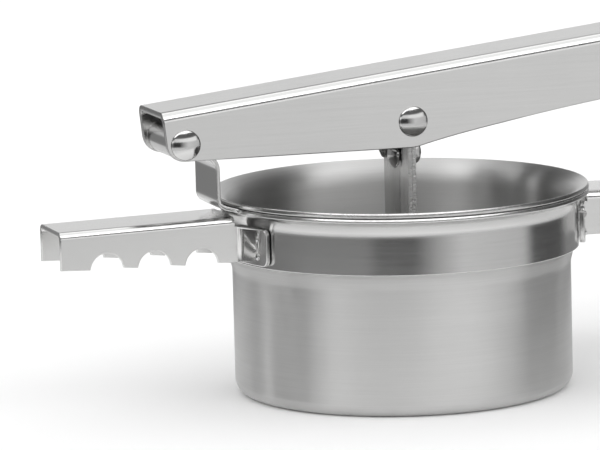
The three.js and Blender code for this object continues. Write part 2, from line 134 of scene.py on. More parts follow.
POST_HALF = 8.6
POST_SHEET = 1.05
POST_SLIT = 0.02
POST_EDGE = 0.06
POST_SPREAD = 11.2
POST_ROUND = 0.6  # half length of the bend where the two layers part
GROOVE_DEPTH = 0.75
GROOVE_HALF = 3.7
GROOVE_CREASE = 0.8  # half width of the closer columns over the rib's crest
GROOVE_TOP = (1, 3)  # under the spread's start: the rib's end, and the length it fades over
GROOVE_FOOT = (8, 4)  # above the table: the rib's end, and the length it fades over
LOOP_MIDDLE = 3.325
FOOT_LENGTH = 13
FOOT_BEND = 2
PLATE_SHEET = 1.2
PLATE_CORNER = 2.2
FLOOR_HOLE = 1.3
FLOOR_PITCH = 4.7
FLOOR_RINGS = 7
RIVET_HEAD = (3.7, 1.35)  # radius and height
RIVET_SHANK = 2.5
RIVET_LIFT = 0.02  # between a head and the cheek
HEAD_EDGE = 0.35  # height of a head's upright edge
TAIL_ROUND = 0.3
TAIL_HEIGHT = 0.75
CLAMP_HEAD = (3.4, 1.7)
CLAMP_SHANK = 1.8
PLATE_HEAD = (3.4, 1.2)
PLATE_SHANK = 2
SPOT_SIZE = (0.35, 0.7, 0.85)
SPOT_DEPTHS = (7.95, 12.3)
REST_SPOT_ANGLE = 20.5
HANDLE_SPOT_ANGLE = 23.5
BEAD_SIZE = (1.6, 0.8, 2.6)
BEAD_INSET = 1.0
BEAD_SHIFT = 1.1
BEAD_HEIGHT = 8.6
BEAD_SWELL = 0.22  # unevenness, as a share of the bead's size
FLOOR_HALF = 2500

# The camera's place, and how far its axis passes from the rim's centre
CAMERA_AZIMUTH = -19.8
CAMERA_ELEVATION = 8.49
CAMERA_ROLL = 1.34
CAMERA_DISTANCE = 1170
CAMERA_LENS = 287.8
CAMERA_AIM = (1.19, 0.485)

# ---- Places taken from the frame ------------------------------------------------------------------


def low(node):
    return Vector(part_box(node)[0]) / MM


def high(node):
    return Vector(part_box(node)[1]) / MM


JOINTS = {joint["name"]: joint for joint in frame["record"]["behaviour"]["joints"]}
PIVOT = Vector(JOINTS["lever_hinge"]["pos_m"]) / MM
PLUNGER_PIN = Vector(JOINTS["plunger_hinge"]["pos_m"]) / MM
RIM_Z = high("basket").z
RIM_RADIUS = high("basket").x
LEVER_HALF = high("lever").y
REST_END = low("pot_rest").x
HANDLE_END = high("rear_handle").x
PLATE_RADIUS = (high("press_plate").x - low("press_plate").x) / 2
FLARE_RADIUS = BASKET_UPPER + LIP_FLARE
FLARE_Z = RIM_Z - math.sqrt((LIP_FLARE + BASKET_SHEET) ** 2 - (FLARE_RADIUS - RIM_RADIUS) ** 2)
RING_INNER = BASKET_UPPER + FIT_GAP
RING_MIDDLE = RING_INNER + RING_SHEET / 2
WRAP_MIDDLE = RING_INNER + RING_SHEET + FIT_GAP + WRAP_SHEET / 2


# ---- Sheet metal from its middle surface ----------------------------------------------------------


def arc(cx, cz, radius, start, end, steps):
    """Points of an arc, with its angles in degrees."""
    angles = np.radians(np.linspace(start, end, steps + 1))
    return [(cx + radius * math.cos(a), cz + radius * math.sin(a)) for a in angles]


def rim_offsets(thickness, edge):
    """(outward, up) steps round a sheet's edge, from its upper face to its lower one."""
    half = thickness / 2
    upper = arc(0, half - edge, edge, 90, 0, EDGE_STEPS)
    return upper + [(out, -up) for out, up in reversed(upper)]


def outward(vert):
    """The direction in the sheet that leaves it at a boundary vertex."""
    total = Vector()
    for edge in vert.link_edges:
        if not edge.is_boundary:
            continue
        face = edge.link_faces[0]
        loop = next(item for item in face.loops if item.edge == edge)
        along = (loop.link_loop_next.vert.co - loop.vert.co).normalized()
        total += along.cross(face.normal)
    return total.normalized()


def thicken(points, faces, thickness, edge_radius=EDGE):
    """A closed mesh of this thickness round a middle surface. Its rounded edges use a second material."""
    middle = bmesh.new()
    verts = [middle.verts.new(p) for p in points]
    for face in faces:
        middle.faces.new([verts[i] for i in face])
    bmesh.ops.remove_doubles(middle, verts=middle.verts, dist=1e-4)
    bmesh.ops.recalc_face_normals(middle, faces=middle.faces)
    middle.normal_update()
    middle.verts.index_update()
    made = bmesh.new()
    up = [made.verts.new(v.co + v.normal * thickness / 2) for v in middle.verts]
    down = [made.verts.new(v.co - v.normal * thickness / 2) for v in middle.verts]
    for face in middle.faces:
        made.faces.new([up[v.index] for v in face.verts])
        made.faces.new([down[v.index] for v in reversed(face.verts)])
    offsets = rim_offsets(thickness, edge_radius)[1:-1]
    rings = {}
    for vert in middle.verts:
        if vert.is_boundary:
            out = outward(vert)
            between = [made.verts.new(vert.co + out * o + vert.normal * u) for o, u in offsets]
            rings[vert.index] = [up[vert.index], *between, down[vert.index]]
    for edge in middle.edges:
        if not edge.is_boundary:
            continue
        loop = edge.link_loops[0]
        first = rings[loop.vert.index]
        second = rings[loop.link_loop_next.vert.index]
        for i in range(len(first) - 1):
            made.faces.new([first[i], first[i + 1], second[i + 1], second[i]]).material_index = 1
        for ring_index in (0, -1):
            made.edges.get([first[ring_index], second[ring_index]]).smooth = False
    middle.free()
    bmesh.ops.recalc_face_normals(made, faces=made.faces)
    return made


def to_object(name, mesh_code, matrix=None):
    """The mesh code as a smooth-shaded object in metres."""
    if matrix is not None:
        bmesh.ops.transform(mesh_code, matrix=matrix, verts=mesh_code.verts)
    bmesh.ops.scale(mesh_code, vec=(MM, MM, MM), verts=mesh_code.verts)
    for face in mesh_code.faces:
        face.smooth = True
    mesh = bpy.data.meshes.new(name)
    mesh_code.to_mesh(mesh)
    mesh_code.free()
    made = bpy.data.objects.new(name, mesh)
    bpy.context.scene.collection.objects.link(made)
    return made


def grid_faces(rows, columns, closed=False):
    """Quads of a grid whose points are stored row by row."""
    faces = []
    for r in range(rows - 1):
        for c in range(columns if closed else columns - 1):
            d = (c + 1) % columns
            faces.append((r * columns + c, r * columns + d, (r + 1) * columns + d, (r + 1) * columns + c))
    return faces


def turned_points(profile, steps=TURN_STEPS):
    """Rings of points for a profile of (radius, z) turned about the Z axis."""
    angles = np.linspace(0, 2 * math.pi, steps, endpoint=False)
    return [(r * math.cos(a), r * math.sin(a), z) for r, z in profile for a in angles]


def turned_solid(profile, steps):
    """A closed turned mesh whose profile starts and ends on the axis."""
    made = bmesh.new()
    rings = []
    for r, z in profile:
        if r < 1e-6:
            rings.append([made.verts.new((0, 0, z))])
        else:
            angles = np.linspace(0, 2 * math.pi, steps, endpoint=False)
            rings.append([made.verts.new((r * math.cos(a), r * math.sin(a), z)) for a in angles])
    for first, second in zip(rings, rings[1:]):
        for i in range(steps):
            j = (i + 1) % steps
            ring = [first[i % len(first)], first[j % len(first)]]
            ring += [second[j % len(second)], second[i % len(second)]]
            made.faces.new(list(dict.fromkeys(ring)))
    bmesh.ops.recalc_face_normals(made, faces=made.faces)
    return made


# ---- Folded channels: a flat pattern, cut out and bent --------------------------------------------


def inside(point, outline):
    """Whether a flat point lies in a closed outline."""
    x, y = point
    hit = False
    for (ax, ay), (bx, by) in zip(outline, outline[1:] + outline[:1]):
        if (ay > y) != (by > y) and x < (bx - ax) * (y - ay) / (by - ay) + ax:
            hit = not hit
    return hit


def cut_pattern(outline, holes=(), rows=(), extra=()):
    """Triangles of a flat pattern, with fold lines kept as edges. Returns (points, faces)."""
    points = []
    edges = []
    for loop in (outline, *holes):
        start = len(points)
        points += loop
        edges += [(start + i, start + (i + 1) % len(loop)) for i in range(len(loop))]
    for row in rows:
        start = len(points)
        points += row
        edges += [(start + i, start + i + 1) for i in range(len(row) - 1)]
    points += list(extra)
    flat, _, faces, *_ = delaunay_2d_cdt([Vector(p) for p in points], edges, [], 0, 1e-5)
    kept = []
    for face in faces:
        middle = sum((flat[i] for i in face), Vector((0, 0))) / len(face)
        if inside(middle, outline) and not any(inside(middle, hole) for hole in holes):
            kept.append(face)
    return flat, kept


class Channel:
    """An inverted channel. In its pattern, s runs along it and t across it from the top's middle."""

    def __init__(self, half_width, sheet, bend):
        self.radius = bend - sheet / 2
        self.flat = half_width - bend
        self.side = half_width - sheet / 2
        self.fold_end = self.flat + self.radius * math.pi / 2

    def t_at(self, depth):
        """The pattern's t for a depth under the top sheet's middle."""
        return self.fold_end + depth - self.radius

    def place(self, t):
        """(y, z) of a pattern coordinate, with z = 0 at the top sheet's middle."""
        sign = -1 if t < 0 else 1
        t = abs(t)
        if t <= self.flat:
            return sign * t, 0
        if t >= self.fold_end:
            return sign * self.side, self.fold_end - self.radius - t
        angle = (t - self.flat) / self.radius
        return sign * (self.flat + self.radius * math.sin(angle)), self.radius * (math.cos(angle) - 1)

    def rows(self, start, end):
        """The fold lines, with one more just inside each flat so that the flats shade flat."""
        fold = np.linspace(self.flat, self.fold_end, 9)
        levels = [self.flat - FOLD_INSET, *fold, self.fold_end + FOLD_INSET]
        return [[(start, sign * t), (end, sign * t)] for t in levels for sign in (1, -1)]


def mirrored(cheek):
    """A whole channel outline from one cheek's edge, given as (s, t) from the first end to the last."""
    return cheek + [(s, -t) for s, t in reversed(cheek)]


def quadratic(p0, p1, p2, steps=10):
    """Points along a quadratic curve, without its first point."""
    values = np.linspace(0, 1, steps + 1)[1:]
    return [
        tuple((1 - u) ** 2 * a + 2 * u * (1 - u) * b + u * u * c for a, b, c in zip(p0, p1, p2))
        for u in values
    ]


def cubic(p0, p1, p2, p3, steps=14):
    """Points along a cubic curve, without its first point."""
    values = np.linspace(0, 1, steps + 1)[1:]
    return [
        tuple(
            (1 - u) ** 3 * a + 3 * u * (1 - u) ** 2 * b + 3 * u * u * (1 - u) * c + u ** 3 * d
            for a, b, c, d in zip(p0, p1, p2, p3)
        )
        for u in values
    ]


def lever():
    """The lever, drawn level round its pivot and then tilted into place."""
    channel = Channel(LEVER_HALF, LEVER_SHEET, LEVER_BEND)
    length = LEVER_LENGTH - EDGE
    top_middle = LEVER_TOP - LEVER_SHEET / 2
    heel = -LEVER_HEEL + EDGE
    deepest_x, deepest = CHEEK_DEEPEST
    side = arc(heel + HEEL_ROUND, HEEL_ROUND - HEEL_BELOW, HEEL_ROUND, 180, 262, 10)
    knee_half, knee_rise = KNEE
    knee_start = (deepest_x - knee_half, -deepest + knee_rise)
    knee_end = (deepest_x + knee_half, -deepest + knee_rise)
    side += quadratic(knee_start, (deepest_x, -deepest), knee_end, 5)
    sweep_pull = (deepest_x + SWEEP_PULL[0], SWEEP_PULL[1] - deepest)
    side += quadratic(side[-1], sweep_pull, (deepest_x + SWEEP_END[0], -SWEEP_END[1]))
    grip_pull, grip_start = ((deepest_x + reach, -GRIP_BELOW) for reach in GRIP_REACH)
    side += quadratic(side[-1], grip_pull, grip_start)
    side += arc(length - NOSE, NOSE - GRIP_BELOW, NOSE, -90, 0, 10)
    cheek = [(s, channel.t_at(top_middle - z)) for s, z in side]
    outline = mirrored(cheek)
    flat, faces = cut_pattern(outline, rows=channel.rows(heel, length))
    points = []
    for s, t in flat:
        y, z = channel.place(t)
        points.append((s, y, z + top_middle))
    tilt = Matrix.Translation(PIVOT) @ Matrix.Rotation(math.radians(-LEVER_TILT), 4, "Y")
    return to_object("lever_channel", thicken(points, faces, LEVER_SHEET), tilt)


def wrap_path(side_y, facing):
    """A tab in plan: where its bend starts, its place (x, y) at a length past there, and the length
    at which it has wrapped round to an angle."""
    centre_y = side_y + WRAP_BEND
    centre_x = math.sqrt((WRAP_MIDDLE + WRAP_BEND) ** 2 - centre_y ** 2)
    meet = math.atan2(centre_y, centre_x)
    sweep = math.pi / 2 - meet

    def place(length):
        if length <= 0:
            return facing * (centre_x - length), side_y
        if length < sweep * WRAP_BEND:
            angle = -math.pi / 2 - length / WRAP_BEND
            x = centre_x + WRAP_BEND * math.cos(angle)
            return facing * x, centre_y + WRAP_BEND * math.sin(angle)
        angle = meet + (length - sweep * WRAP_BEND) / WRAP_MIDDLE
        return facing * WRAP_MIDDLE * math.cos(angle), WRAP_MIDDLE * math.sin(angle)

    def length_at(degrees):
        return sweep * WRAP_BEND + (math.radians(degrees) - meet) * WRAP_MIDDLE

    return centre_x, place, length_at


def wrapped_channel(name, channel, sheet, facing, top_line, edge_points, wrap_end, holes=()):
    """A channel welded to the ring by two tabs. s is the distance from the axis, which grows away
    from the ring. edge_points are the cheek's lower edge as (s, depth under the rim), from the ring
    outwards. Past the bend's start, s shrinks on as the length along the tab."""
    start_x, place, length_at = wrap_path(channel.side, facing)
    tab_end = start_x - length_at(wrap_end)
    tab_start = channel.fold_end + WRAP_START
    top_end = RING_INNER + RING_SHEET + TOP_GAP

    def top_at(s):
        return top_line(max(s, start_x))

    def t_for(s, depth):
        return channel.t_at(depth - top_at(s))

    tab = [(top_end, tab_start), (start_x - TAB_RELIEF, tab_start)]
    upper = arc(tab_end + WRAP_CORNER, -WRAP_TOP - WRAP_CORNER, WRAP_CORNER, 90, 180, 4)
    lower = arc(tab_end + WRAP_CORNER, -WRAP_BOTTOM + WRAP_CORNER, WRAP_CORNER, 180, 270, 4)
    tab += [(s, t_for(s, -z)) for s, z in upper + lower]
    cheek = tab + [(s, t_for(s, depth)) for s, depth in edge_points]
    outline = mirrored(cheek)
    bend_lines = []
    wrapped = np.linspace(0, length_at(wrap_end) - LINE_GAP, BEND_LINES)
    for step in (-2, -LINE_GAP, *wrapped):
        for sign in (1, -1):
            s = start_x - step
            bend_lines.append([(s, sign * tab_start), (s, sign * t_for(s, BEND_LINE_DEPTH))])
    rows = channel.rows(top_end, edge_points[-1][0])
    flat, faces = cut_pattern(outline, holes=holes, rows=rows + bend_lines)
    points = []
    for s, t in flat:
        y, z = channel.place(t)
        z += RIM_Z - top_at(s)
        if s < start_x - 0.1 or abs(t) > tab_start - 0.1:
            x, wide = place(start_x - s)
            points.append((x, math.copysign(wide, t), z))
        else:
            points.append((facing * s, y, z))
    return to_object(name, thicken(points, faces, sheet))


def pot_rest():
    channel = Channel(REST_HALF, REST_SHEET, REST_BEND)
    end = -REST_END - EDGE
    outer_top, inner_top = (depth + REST_SHEET / 2 for depth in REST_TOP)
    span = -REST_END - RING_INNER

    def top_line(s):
        return inner_top + (outer_top - inner_top) * (s - RING_INNER) / span

    def edge_depth(s):
        return REST_BOTTOM[1] + (REST_BOTTOM[0] - REST_BOTTOM[1]) * (s - RING_INNER) / span - EDGE

    edge = [(REST_EDGE_START, edge_depth(REST_EDGE_START))]
    for x in reversed(NOTCHES):
        depth = edge_depth(-x)
        reach = math.degrees(math.asin(-NOTCH_LIFT / NOTCH_RADIUS))
        notch = arc(-x, NOTCH_LIFT, NOTCH_RADIUS, 180 - reach, reach, 16)
        edge += [(s, depth - z) for s, z in notch]
    edge.append((end, edge_depth(end)))
    return wrapped_channel("pot_rest_channel", channel, REST_SHEET, -1, top_line, edge, REST_WRAP_END)


def rear_handle():
    channel = Channel(HANDLE_HALF, HANDLE_SHEET, HANDLE_BEND)
    end = HANDLE_END - EDGE
    inner_top, outer_top = (depth + HANDLE_SHEET / 2 for depth in HANDLE_TOP)
    inner, middle, outer = HANDLE_BOTTOM

    def top_line(s):
        return inner_top + (outer_top - inner_top) * (s - RING_INNER) / (HANDLE_END - RING_INNER)

    start_pull, end_pull = HANDLE_PULLS
    edge = [(HANDLE_EDGE_START, inner)]
    pulls = ((HANDLE_EDGE_START + start_pull, inner), (GRIP_START - end_pull, middle))
    edge += cubic(edge[0], *pulls, (GRIP_START, middle))
    edge += [(s, -z) for s, z in arc(end - NOSE, -outer + NOSE, NOSE, -90, 0, 10)]
    hole_x, hole_radius = HANG_HOLE
    hole = arc(hole_x, 0, hole_radius + EDGE, 0, 352, 44)
    return wrapped_channel(
        "rear_handle_channel", channel, HANDLE_SHEET, 1, top_line, edge, HANDLE_WRAP_END, holes=[hole]
    )


# ---- Holder ring and basket -----------------------------------------------------------------------


def flare(radius, rise, steps=10):
    """Points of a flare's arc, from the wall up to the rim, as (radius, z)."""
    end = math.degrees(math.acos((RIM_RADIUS - EDGE - FLARE_RADIUS) / radius))
    return arc(FLARE_RADIUS, FLARE_Z + rise, radius, 180, end, steps)


def tab_path(start):
    """The tab's side view from the ring's edge to the end of its eye, as (x, z)."""
    centre_x, centre_z = FLARE_RADIUS, FLARE_Z + RING_FLARE_RISE
    slope = math.atan2(centre_x - start[0], start[1] - centre_z)
    bend_x = TAB_X + TAB_FOOT_BEND
    straight = (-start[0] - (TAB_X + TAB_FOOT_BEND * (1 - math.sin(slope)))) / math.cos(slope)
    foot_z = start[1] + straight * math.sin(slope)
    bend_z = foot_z + TAB_FOOT_BEND * math.cos(slope)
    top_z = PIVOT.z - EYE_MIDDLE
    path = []
    for u in (0.33, 0.67):
        path.append((-start[0] - straight * math.cos(slope) * u, start[1] + straight * math.sin(slope) * u))
    path += arc(bend_x, bend_z, TAB_FOOT_BEND, 270 - math.degrees(slope), 180, 8)
    path += arc(TAB_X - TAB_TOP_BEND, top_z - TAB_TOP_BEND, TAB_TOP_BEND, 0, 90, 8)
    path += arc(PIVOT.x, PIVOT.z, EYE_MIDDLE, -90, -375, 36)
    return path


def resampled(path, lengths):
    """Points at these lengths along a path."""
    path = np.array(path)
    steps = np.hypot(*np.diff(path, axis=0).T)
    along = np.concatenate([[0], np.cumsum(steps)])
    return list(zip(np.interp(lengths, along, path[:, 0]), np.interp(lengths, along, path[:, 1])))


def holder_ring():
    """The ring's band and flare, flowing into the tab that is rolled into the lever's eye."""
    bottom = RIM_Z - RING_DEPTH + EDGE
    profile = [(RING_MIDDLE, z) for z in np.linspace(bottom, FLARE_Z - 0.5, 8)]
    profile += flare(FLARE_RADIUS - RING_MIDDLE, RING_FLARE_RISE)
    points = turned_points(profile)
    faces = grid_faces(len(profile), TURN_STEPS, closed=True)
    edge_radius, edge_z = profile[-1]
    middle_column = TURN_STEPS // 2
    columns = range(middle_column - TAB_ROOT_COLUMNS, middle_column + TAB_ROOT_COLUMNS + 1)
    row_start = (len(profile) - 1) * TURN_STEPS
    previous = [row_start + c for c in columns]
    root = [points[i] for i in previous]
    root_half = abs(root[0][1])
    fillet = root_half - TAB_HALF
    path = [(-edge_radius, edge_z), *tab_path((edge_radius, edge_z))]
    total = float(np.hypot(*np.diff(np.array(path), axis=0).T).sum())
    fillet_turns = np.radians(np.linspace(10, 90, 9))
    lengths = [fillet * (1 - math.cos(turn)) for turn in fillet_turns]
    halves = [root_half - fillet * math.sin(turn) for turn in fillet_turns]
    more = list(np.linspace(fillet, total, 64))[1:]
    halves += [TAB_HALF - EDGE] * len(more)
    lengths += more
    for length, half, (x, z) in zip(lengths, halves, resampled(path, lengths)):
        bow = max(0, 1 - length / fillet)
        row = []
        for rx, ry, _ in root:
            row.append(len(points))
            points.append((x + (rx + edge_radius) * bow * bow, ry / root_half * half, z))
        faces += [(previous[i], previous[i + 1], row[i + 1], row[i]) for i in range(len(row) - 1)]
        previous = row
    return to_object("ring_and_tab", thicken(points, faces, RING_SHEET))


def floor_hole_places():
    """Centres of the floor's holes, on a hexagonal grid."""
    places = []
    for row in range(-FLOOR_RINGS, FLOOR_RINGS + 1):
        count = 2 * FLOOR_RINGS + 1 - abs(row)
        for i in range(count):
            x = (i - (count - 1) / 2) * FLOOR_PITCH
            places.append((x, row * FLOOR_PITCH * math.sin(math.pi / 3)))
    return [place for place in places if math.hypot(*place) < BASKET_LOWER - 2 * BASKET_CORNER]


def basket():
    """The basket: a rolled lip, a wall with a shoulder, and a perforated floor."""
    half = BASKET_SHEET / 2
    floor_radius = BASKET_LOWER - BASKET_CORNER
    lower = BASKET_LOWER - half
    upper = BASKET_UPPER - half
    profile = arc(floor_radius, BASKET_CORNER, BASKET_CORNER - half, -90, 0, 8)
    profile += [(lower, z) for z in np.linspace(WALL_START, RIM_Z - SHOULDER[1] - 1, 4)]
    inward, down = SHOULDER_ROUND
    corner = (lower, RIM_Z - SHOULDER[1])
    profile += quadratic(profile[-1], corner, (lower + inward, corner[1] + down), 4)
    knee = (upper, RIM_Z - SHOULDER[0])
    profile.append((upper - inward, knee[1] - down))
    profile += quadratic(profile[-1], knee, (upper, knee[1] + SHOULDER_LEAD), 4)
    profile += [(upper, z) for z in np.linspace(knee[1] + 2, FLARE_Z - FLARE_LEAD, 6)]
    profile += flare(LIP_FLARE + half, 0)
    points = turned_points(profile)
    faces = grid_faces(len(profile), TURN_STEPS, closed=True)
    rim = [Vector(p[:2]) for p in turned_points([profile[0]])]
    places = floor_hole_places()
    circles = [arc(x, y, FLOOR_HOLE + EDGE, 0, 337.5, 15) for x, y in places]
    flat_points = list(rim)
    edges = [(i, (i + 1) % TURN_STEPS) for i in range(TURN_STEPS)]
    for circle in circles:
        start = len(flat_points)
        flat_points += [Vector(p) for p in circle]
        edges += [(start + i, start + (i + 1) % len(circle)) for i in range(len(circle))]
    flat, _, floor_faces, *_ = delaunay_2d_cdt(flat_points, edges, [], 0, 1e-5)
    centres = np.array(places)
    start = len(points)
    points += [(p.x, p.y, half) for p in flat]
    for face in floor_faces:
        middle = sum((flat[i] for i in face), Vector((0, 0))) / len(face)
        nearest = np.hypot(*(centres - np.array(middle)).T).min()
        if nearest > FLOOR_HOLE and middle.length < floor_radius:
            faces.append([start + i for i in face])
    return to_object("perforated_basket", thicken(points, faces, BASKET_SHEET))


# ---- Plunger --------------------------------------------------------------------------------------


def post_half(side):
    """Half of the hairpin's side view, from the foot up to the top of the loop."""
    offset = (POST_SHEET + POST_SLIT) / 2
    foot_z = low("plunger_post").z + POST_SHEET / 2
    loop_z = PLUNGER_PIN.z
    rise = loop_z - RIM_Z - POST_SPREAD
    lean = math.asin(LOOP_MIDDLE / math.hypot(rise, offset)) - math.atan2(offset, rise)
    bend_x = offset + FOOT_BEND
    half = [(x, foot_z) for x in np.linspace(offset + FOOT_LENGTH, bend_x + 1, 5)]
    half += arc(bend_x, foot_z + FOOT_BEND, FOOT_BEND, 270, 180, 8)
    parting = RIM_Z + POST_SPREAD
    half += [(offset, z) for z in np.linspace(foot_z + FOOT_BEND + 1, parting - POST_ROUND, 30)]
    leaning = (offset + POST_ROUND * math.sin(lean), parting + POST_ROUND * math.cos(lean))
    half += quadratic(half[-1], (offset, parting), leaning, 4)
    half += arc(0, loop_z, LOOP_MIDDLE, -math.degrees(lean), 90, 18)
    return [(PLUNGER_PIN.x + side * x, z) for x, z in half]


def groove(y, z):
    """How far the pressed rib pushes both layers aside, along X."""
    across = max(0, 1 - abs(y) / GROOVE_HALF)
    under, top_fade = GROOVE_TOP
    foot, foot_fade = GROOVE_FOOT
    top_share = min(1, max(0, (RIM_Z + POST_SPREAD - under - z) / top_fade))
    foot_share = min(1, max(0, (z - foot) / foot_fade))
    return GROOVE_DEPTH * across * (top_share * foot_share)


def plunger_post():
    right = post_half(1)
    left = list(reversed(post_half(-1)))[1:]
    side = POST_HALF - POST_EDGE
    crest = np.linspace(-GROOVE_CREASE, GROOVE_CREASE, 9)
    across = sorted({*np.linspace(-side, side, 19), *crest})
    points = []
    for x, z in right + left:
        points += [(x + groove(y, z), y, z) for y in across]
    faces = grid_faces(len(right) + len(left), len(across))
    return to_object("doubled_strip", thicken(points, faces, POST_SHEET, POST_EDGE))


def press_plate():
    bottom = low("press_plate").z
    top = high("press_plate").z
    wall = PLATE_RADIUS - PLATE_SHEET / 2
    profile = arc(PLATE_RADIUS - PLATE_CORNER, bottom + PLATE_CORNER, PLATE_CORNER, -90, 0, 8)
    profile += arc(wall, top - PLATE_SHEET / 2, PLATE_SHEET / 2, 0, 180, 8)
    inner = PLATE_CORNER - PLATE_SHEET
    profile += arc(PLATE_RADIUS - PLATE_CORNER, bottom + PLATE_CORNER, inner, 0, -90, 8)
    closed = [(0, bottom), *profile, (0, bottom + PLATE_SHEET)]
    shift = Matrix.Translation((PLUNGER_PIN.x, 0, 0))
    return to_object("pressing_pan", turned_solid(closed, TURN_STEPS), shift)


# ---- Rivets ---------------------------------------------------------------------------------------


def head_profile(radius, height, face, shank):
    """A domed head above this face, from the shank to the apex on the axis."""
    dome = height - HEAD_EDGE
    sphere = (radius ** 2 + dome ** 2) / (2 * dome)
    spread = math.degrees(math.asin((radius - 0.15) / sphere))
    cap = arc(0, face + height - sphere, sphere, 90 - spread, 90, 12)
    cap[-1] = (0, face + height)
    return [(shank, face), (radius - 0.1, face), (radius, face + 0.12), *cap]


def cross_rivet(name, centre):
    """A rivet across the lever, with a domed head against each cheek."""
    radius, height = RIVET_HEAD
    upper = head_profile(radius, height, LEVER_HALF + RIVET_LIFT, RIVET_SHANK)
    lower = [(r, -z) for r, z in reversed(upper)]
    turn = Matrix.Translation(centre) @ Matrix.Rotation(math.radians(-90), 4, "X")
    return to_object(name, turned_solid(lower + upper, 48), turn)


def short_rivet(name, node, head, axis_turn, shank):
    """A short rivet along Z or, turned, along X, filling its CAD node's length."""
    radius, height = head
    lowest, highest = low(node), high(node)
    length = (highest - lowest).x if axis_turn else (highest - lowest).z
    upper = head_profile(radius, height, length - height, shank)
    tail = [(0, 0), (radius - TAIL_ROUND, 0), (radius, TAIL_ROUND)]
    tail += [(radius, TAIL_HEIGHT - 0.05), (shank, TAIL_HEIGHT)]
    middle = (lowest + highest) / 2
    if axis_turn:
        start = Vector((highest.x, middle.y, middle.z))
        turn = Matrix.Translation(start) @ Matrix.Rotation(math.radians(-90), 4, "Y")
    else:
        turn = Matrix.Translation((middle.x, middle.y, lowest.z))
    return to_object(name, turned_solid(tail + upper, 48), turn)


def bead(name, centre, size, seed, steps=24):
    """A blob of weld metal: a ball of this size, a little uneven."""
    made = bmesh.new()
    bmesh.ops.create_uvsphere(made, u_segments=steps, v_segments=steps // 2, radius=1)
    for vert in made.verts:
        swell = noise.noise(vert.co * 1.4 + Vector((seed, 0, 0)))
        vert.co = Vector((a * b for a, b in zip(vert.co * (1 + BEAD_SWELL * swell), size)))
    return to_object(name, made, Matrix.Translation(centre))


def spot_welds(facing, angle, depths):
    """Small proud spots where a wrapping tab is welded to the ring, on both sides."""
    made = []
    radius = WRAP_MIDDLE + WRAP_SHEET / 2
    for side in (1, -1):
        for number, depth in enumerate(depths):
            turn = math.radians(angle) * side
            centre = Vector((facing * radius * math.cos(turn), radius * math.sin(turn), RIM_Z - depth))
            end = "rest" if facing < 0 else "handle"
            name = f"spot_weld_{end}_{'far' if side > 0 else 'near'}_{number + 1}"
            made.append(bead(name, centre, SPOT_SIZE, number + 2 * side))
    return made


# ---- Materials ------------------------------------------------------------------------------------

GRAIN_RADIUS = 0.044  # metres: where the round grain's stretch is as given


class Nodes:
    """The node tree of a material or a world, with short calls to add and link nodes."""

    def __init__(self, owner):
        owner.use_nodes = True
        self.owner = owner
        self.tree = owner.node_tree
        self.shader = self.tree.nodes.get("Principled BSDF")  # only a material has one

    def add(self, kind, **values):
        node = self.tree.nodes.new(kind)
        for key, value in values.items():
            setattr(node, key, value)
        return node

    def link(self, source, target):
        self.tree.links.new(source, target)

    def math(self, operation, first, second=None):
        node = self.add("ShaderNodeMath", operation=operation)
        for socket, value in zip(node.inputs, (first, second)):
            if value is None:
                continue
            if isinstance(value, (int, float)):
                socket.default_value = value
            else:
                self.link(value, socket)
        return node.outputs[0]

    def noise(self, vector, scale, detail=3, roughness=0.6):
        node = self.add("ShaderNodeTexNoise")
        node.inputs["Scale"].default_value = scale
        node.inputs["Detail"].default_value = detail
        node.inputs["Roughness"].default_value = roughness
        self.link(vector, node.inputs["Vector"])
        return node.outputs["Fac"]

    def blend(self, share, first, second):
        """first where share is 0, second where it is 1."""
        node = self.add("ShaderNodeMix")
        sockets = (node.inputs[0], node.inputs[2], node.inputs[3])
        for socket, value in zip(sockets, (share, first, second)):
            if isinstance(value, (int, float)):
                socket.default_value = value
            else:
                self.link(value, socket)
        return node.outputs[0]

    def ranged(self, value, low_in, high_in, low_out, high_out):
        node = self.add("ShaderNodeMapRange")
        for socket, number in zip(node.inputs[1:5], (low_in, high_in, low_out, high_out)):
            socket.default_value = number
        self.link(value, node.inputs[0])
        return node.outputs[0]


def stretched(nodes, stretch):
    """Object coordinates scaled by these amounts, so that noise runs along the smallest."""
    coordinates = nodes.add("ShaderNodeTexCoord")
    mapping = nodes.add("ShaderNodeMapping")
    mapping.inputs["Scale"].default_value = stretch
    nodes.link(coordinates.outputs["Object"], mapping.inputs["Vector"])
    return mapping.outputs["Vector"], coordinates.outputs["Object"]


def round_grain(nodes, along, across):
    """Coordinates in which noise runs round the Z axis."""
    coordinates = nodes.add("ShaderNodeTexCoord")
    parts = nodes.add("ShaderNodeSeparateXYZ")
    nodes.link(coordinates.outputs["Object"], parts.inputs[0])
    x, y, z = parts.outputs
    squares = [nodes.math("MULTIPLY", value, value) for value in (x, y)]
    radius = nodes.math("SQRT", nodes.math("ADD", *squares))
    angle = nodes.math("ARCTAN2", nodes.math("MULTIPLY", y, -1), nodes.math("MULTIPLY", x, -1))
    joined = nodes.add("ShaderNodeCombineXYZ")
    nodes.link(nodes.math("MULTIPLY", angle, GRAIN_RADIUS * along), joined.inputs[0])
    nodes.link(nodes.math("MULTIPLY", radius, across), joined.inputs[1])
    nodes.link(nodes.math("MULTIPLY", z, across), joined.inputs[2])
    return joined.outputs[0], coordinates.outputs["Object"]


